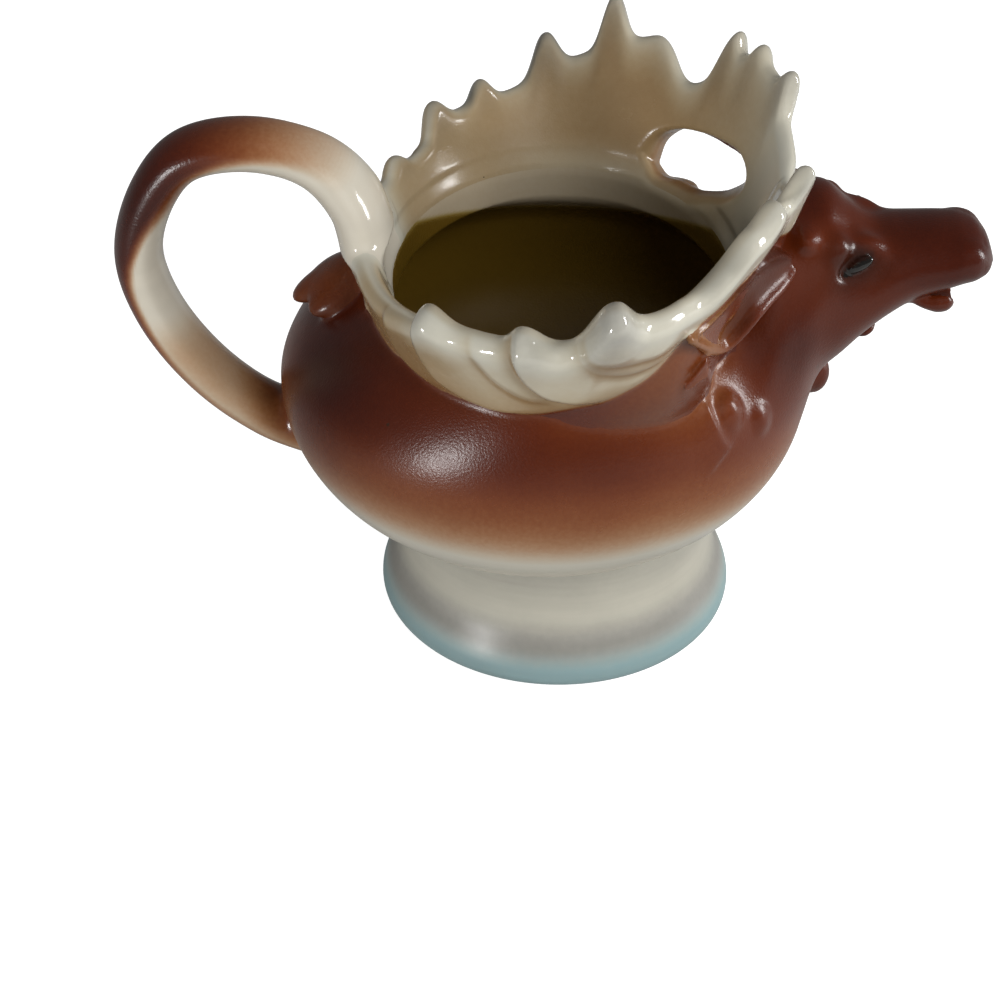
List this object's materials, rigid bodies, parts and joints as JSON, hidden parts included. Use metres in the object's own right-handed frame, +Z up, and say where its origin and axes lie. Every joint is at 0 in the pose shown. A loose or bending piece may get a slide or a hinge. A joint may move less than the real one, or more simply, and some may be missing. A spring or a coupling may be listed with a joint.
{
  "type": "cream jug",
  "caption": "Glazed porcelain cream jug in the form of an elk: round bowl on a pedestal foot, head as the spout, pierced antlers as the collar of the mouth, loop handle.",
  "frame": {"origin": "middle of the overall length and width, on the plane that the foot stands on", "axes": "+X along the length towards the spout, +Y to the animal's left, +Z up"},
  "size_m": [0.1494, 0.1094, 0.097],
  "materials": {
    "brown_glaze": "satin airbrushed red-brown glaze, paler towards the foot",
    "ivory_glaze": "glossy ivory glaze with tan airbrushed shading",
    "cream_glaze": "glossy cream glaze, brown along the back of the loop",
    "foot_glaze": "glossy off-white glaze with grey streaks and a pale blue band at the lip"
  },
  "bodies": {
    "root": {"pedestal_foot": "foot_glaze", "bowl": "brown_glaze", "head_spout": "brown_glaze", "antler_left": "ivory_glaze", "antler_right": "ivory_glaze", "ear_left": "brown_glaze", "ear_right": "brown_glaze", "neck_ruff_left": "brown_glaze", "neck_ruff_right": "brown_glaze", "handle": "cream_glaze", "handle_leaf": "brown_glaze", "throat_bell": "brown_glaze"}
  },
  "joints": []
}
